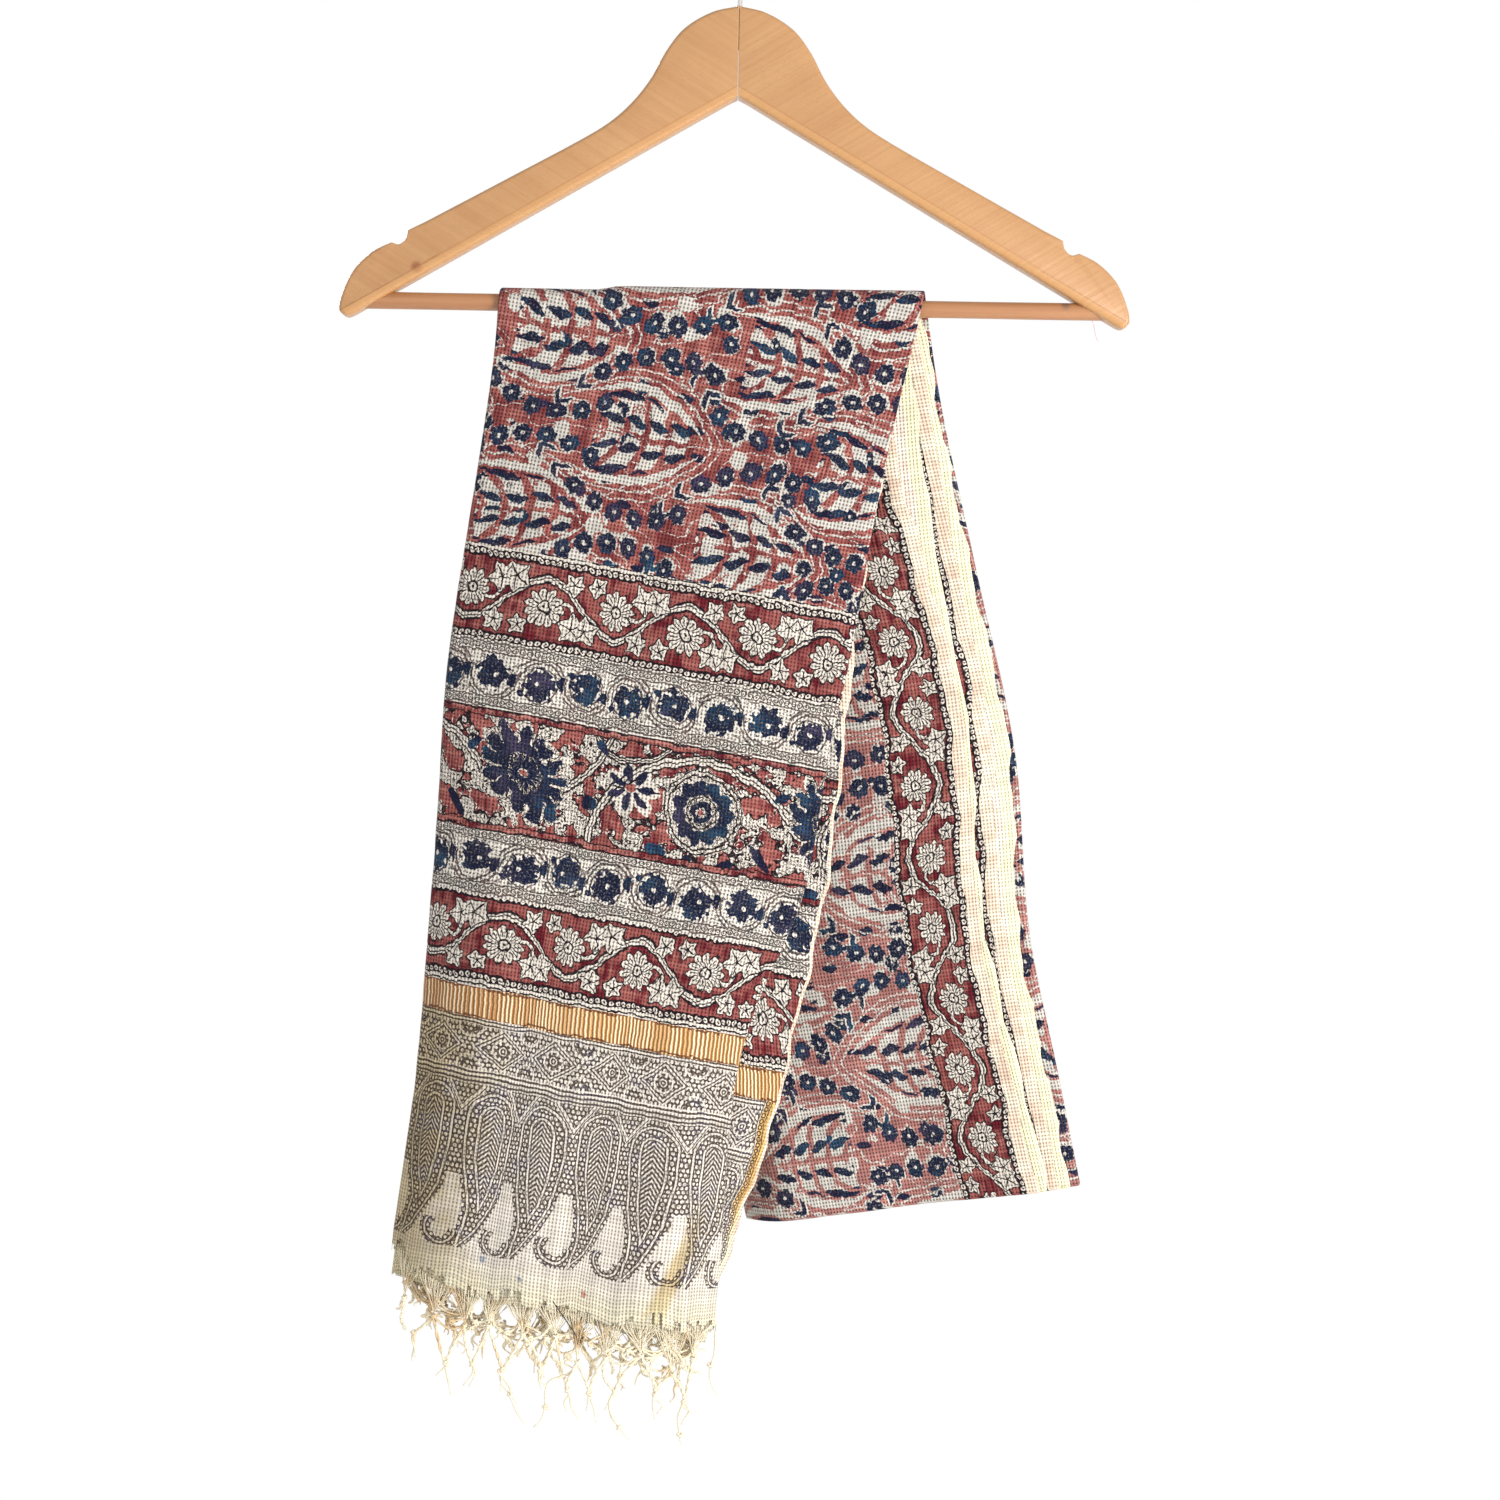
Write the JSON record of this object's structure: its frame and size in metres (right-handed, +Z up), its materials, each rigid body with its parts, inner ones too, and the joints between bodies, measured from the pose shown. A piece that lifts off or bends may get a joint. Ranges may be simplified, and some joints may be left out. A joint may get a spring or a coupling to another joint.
{
  "type": "kalamkari dupatta on wooden hanger",
  "caption": "Long printed cotton dupatta with knotted fringed ends, folded lengthwise and hung askew over the bar of a wooden hanger with a wire hook.",
  "frame": {"origin": "the point where the crown of the hook rests on a rail, in the hanger's middle plane", "axes": "+Z up; +X along the hanger to the right, seen from the side that shows the fringed panel; -Y out of that side"},
  "size_m": [0.4436, 0.109, 0.8842],
  "materials": {
    "printed_cotton": "open gauzy handloom cotton, block printed in terracotta, cream and indigo, matt, with a woven gold stripe near each end",
    "fringe_yarn": "undyed cream to tan cotton warp, twisted and knotted, matt",
    "beech": "light beech with fine grain under satin varnish",
    "bar_beech": "turned beech under satin varnish",
    "bright_wire": "bright plated steel wire"
  },
  "bodies": {
    "root": {"dupatta_cloth": "printed_cotton", "fringe_outer_end": "fringe_yarn", "fringe_inner_end": "fringe_yarn", "hanger_arm_left": "beech", "hanger_arm_right": "beech", "hanger_bar": "bar_beech", "hanger_hook": "bright_wire"}
  },
  "joints": []
}
